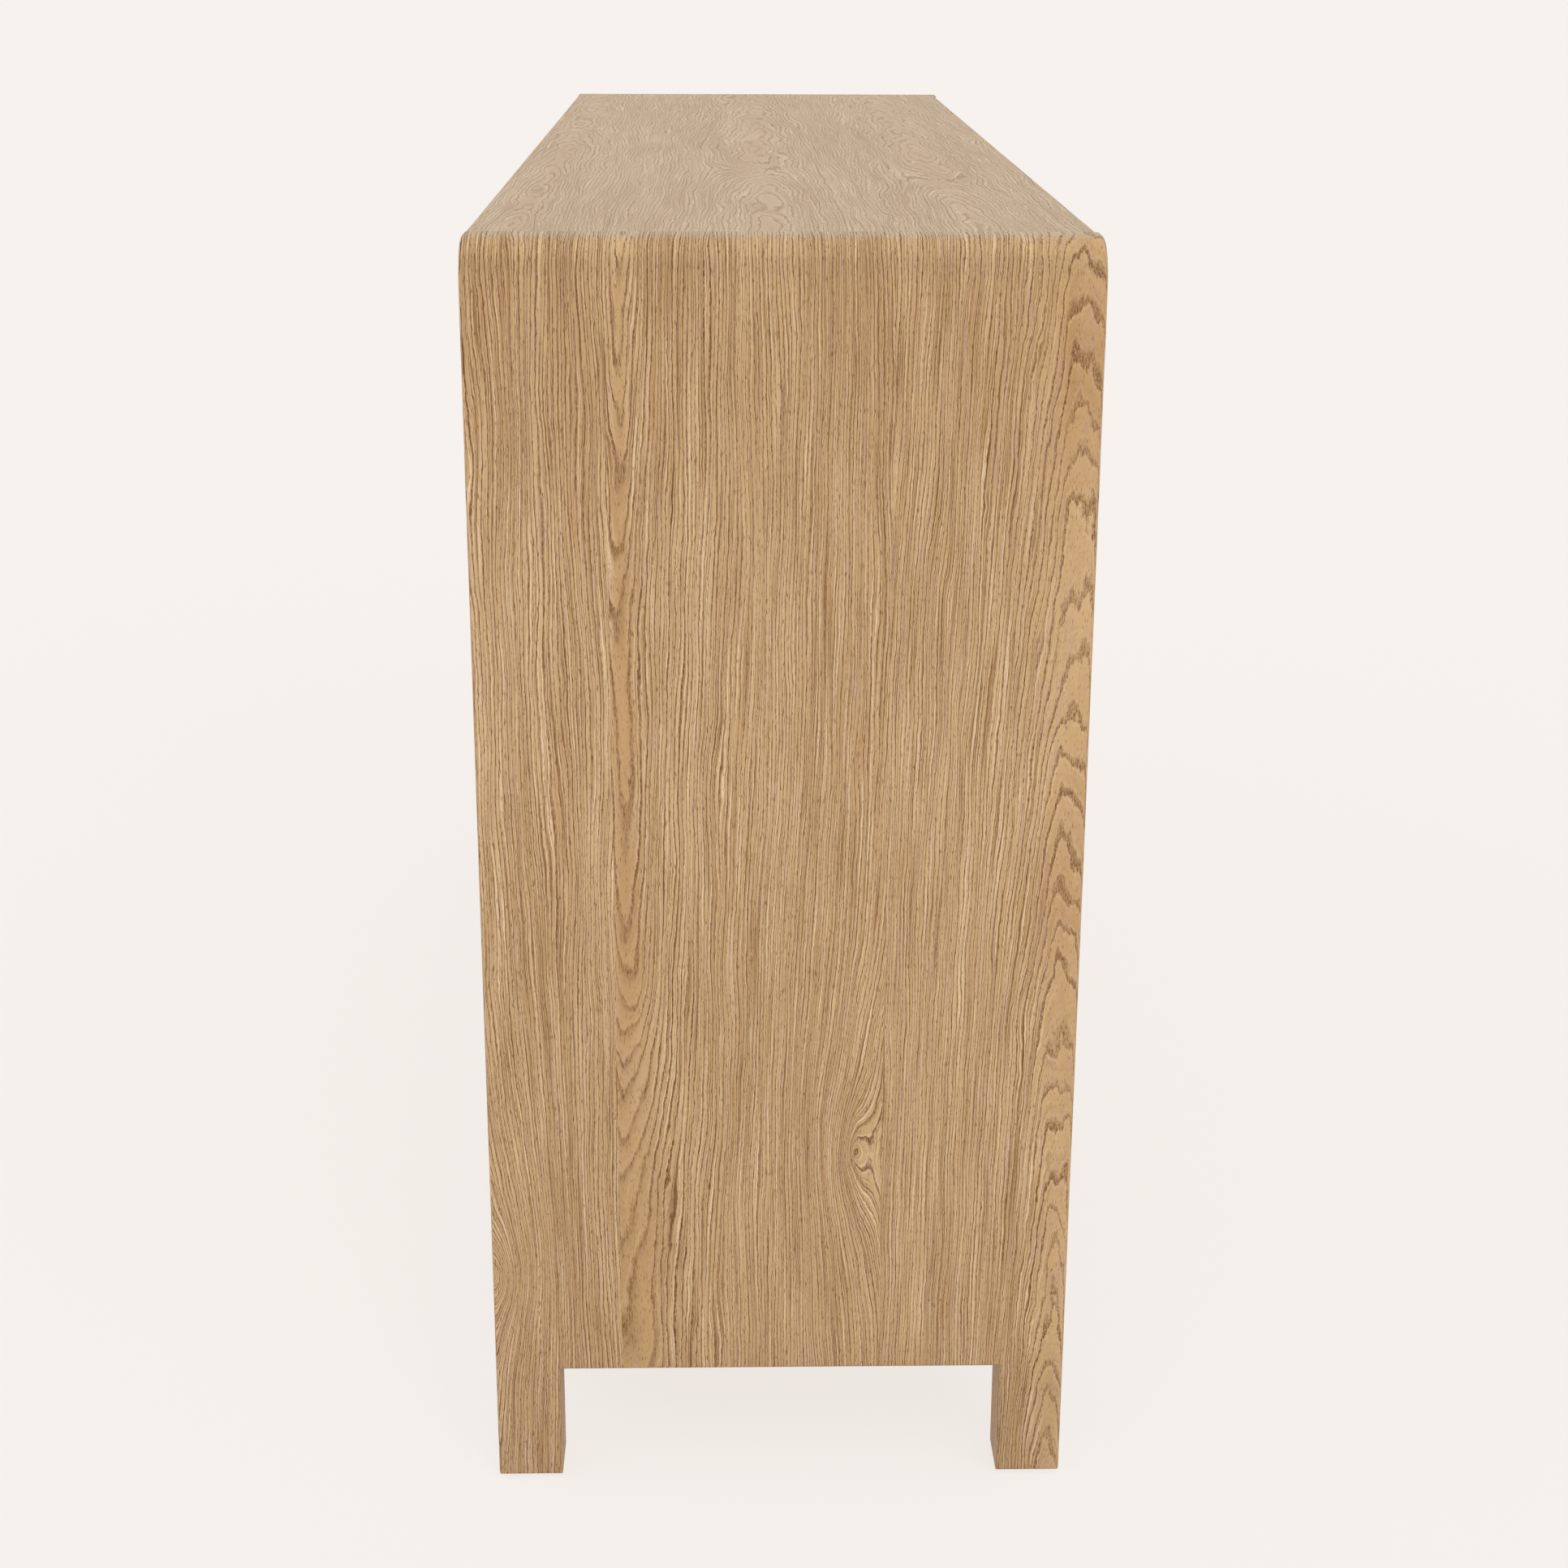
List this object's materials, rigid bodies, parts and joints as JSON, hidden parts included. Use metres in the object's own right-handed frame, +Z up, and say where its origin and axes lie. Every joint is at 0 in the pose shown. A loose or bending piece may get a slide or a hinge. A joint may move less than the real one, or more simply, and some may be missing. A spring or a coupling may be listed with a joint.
{
  "type": "sideboard",
  "caption": "Long oak sideboard with rounded top corners, legs cut out of its end panels, inset doors on pivot hinges and a bank of dovetailed drawers between them.",
  "frame": {"origin": "on the floor, under the middle of the length and of the depth", "axes": "+X along the length towards the right-hand end, +Y towards the back, +Z up; the doors and drawers face -Y"},
  "size_m": [1.43, 0.4, 0.873],
  "materials": {
    "end_veneer": "satin oiled oak veneer",
    "top_veneer": "satin oiled oak veneer",
    "front_veneer": "satin oiled oak veneer",
    "inner_veneer": "matt oiled oak veneer",
    "solid_oak": "matt oiled solid oak",
    "birch_plywood": "matt lacquered plywood",
    "beech": "raw, fluted",
    "felt": "pressed felt",
    "runner_steel": "bright zinc",
    "hinge_steel": "satin",
    "nickel_steel": "nickel plated",
    "screw_steel": "zinc plated"
  },
  "bodies": {
    "carcass": {"left_end_panel": "end_veneer", "right_end_panel": "end_veneer", "top_panel": "top_veneer", "base_panel": "inner_veneer", "left_divider": "inner_veneer", "right_divider": "inner_veneer", "back_panel": "birch_plywood", "left_shelf": "inner_veneer", "right_shelf": "inner_veneer", "shelf_pins": "nickel_steel", "left_door_stop": "inner_veneer", "right_door_stop": "inner_veneer", "door_magnets": "nickel_steel", "frame_hinges": "hinge_steel", "frame_hinge_screws": "screw_steel", "cabinet_runners": "runner_steel", "runner_screws": "screw_steel", "dowels": "beech", "cam_bolts": "nickel_steel", "cam_locks": "nickel_steel", "back_screws": "screw_steel", "leg_glides": "felt"},
    "left_door_leaf": {"left_door": "front_veneer", "left_door_leaves": "hinge_steel", "left_door_screws": "screw_steel", "left_door_strikes": "nickel_steel"},
    "right_door_leaf": {"right_door": "front_veneer", "right_door_leaves": "hinge_steel", "right_door_screws": "screw_steel", "right_door_strikes": "nickel_steel"},
    "top_drawer": {"top_drawer_front": "front_veneer", "top_drawer_box_front": "solid_oak", "top_drawer_left_side": "solid_oak", "top_drawer_right_side": "solid_oak", "top_drawer_back": "solid_oak", "top_drawer_bottom": "birch_plywood", "top_drawer_slides": "runner_steel", "top_drawer_screws": "screw_steel"},
    "top_middle_members": {"top_runner_middles": "runner_steel"},
    "middle_drawer": {"middle_drawer_front": "front_veneer", "middle_drawer_box_front": "solid_oak", "middle_drawer_left_side": "solid_oak", "middle_drawer_right_side": "solid_oak", "middle_drawer_back": "solid_oak", "middle_drawer_bottom": "birch_plywood", "middle_drawer_slides": "runner_steel", "middle_drawer_screws": "screw_steel"},
    "middle_middle_members": {"middle_runner_middles": "runner_steel"},
    "bottom_drawer": {"bottom_drawer_front": "front_veneer", "bottom_drawer_box_front": "solid_oak", "bottom_drawer_left_side": "solid_oak", "bottom_drawer_right_side": "solid_oak", "bottom_drawer_back": "solid_oak", "bottom_drawer_bottom": "birch_plywood", "bottom_drawer_slides": "runner_steel", "bottom_drawer_screws": "screw_steel"},
    "bottom_middle_members": {"bottom_runner_middles": "runner_steel"}
  },
  "joints": [
    {"name": "left_door_hinge", "type": "hinge", "parent": "carcass", "child": "left_door_leaf", "pos_m": [-0.6645, -0.1897, 0.472], "axis": [0, 0, -1], "range_deg": [0, 95]},
    {"name": "right_door_hinge", "type": "hinge", "parent": "carcass", "child": "right_door_leaf", "pos_m": [0.6645, -0.1897, 0.472], "axis": [0, 0, 1], "range_deg": [0, 95]},
    {"name": "top_drawer_slide", "type": "slide", "parent": "carcass", "child": "top_drawer", "axis": [0, -1, 0], "range_m": [0, 0.34]},
    {"name": "top_middle_slide", "type": "slide", "parent": "carcass", "child": "top_middle_members", "axis": [0, -1, 0], "range_m": [0, 0.17]},
    {"name": "middle_drawer_slide", "type": "slide", "parent": "carcass", "child": "middle_drawer", "axis": [0, -1, 0], "range_m": [0, 0.34]},
    {"name": "middle_middle_slide", "type": "slide", "parent": "carcass", "child": "middle_middle_members", "axis": [0, -1, 0], "range_m": [0, 0.17]},
    {"name": "bottom_drawer_slide", "type": "slide", "parent": "carcass", "child": "bottom_drawer", "axis": [0, -1, 0], "range_m": [0, 0.34]},
    {"name": "bottom_middle_slide", "type": "slide", "parent": "carcass", "child": "bottom_middle_members", "axis": [0, -1, 0], "range_m": [0, 0.17]}
  ],
  "couplings": [
    {"joint": "top_middle_slide", "follows": "top_drawer_slide", "ratio": 0.5},
    {"joint": "middle_middle_slide", "follows": "middle_drawer_slide", "ratio": 0.5},
    {"joint": "bottom_middle_slide", "follows": "bottom_drawer_slide", "ratio": 0.5}
  ]
}
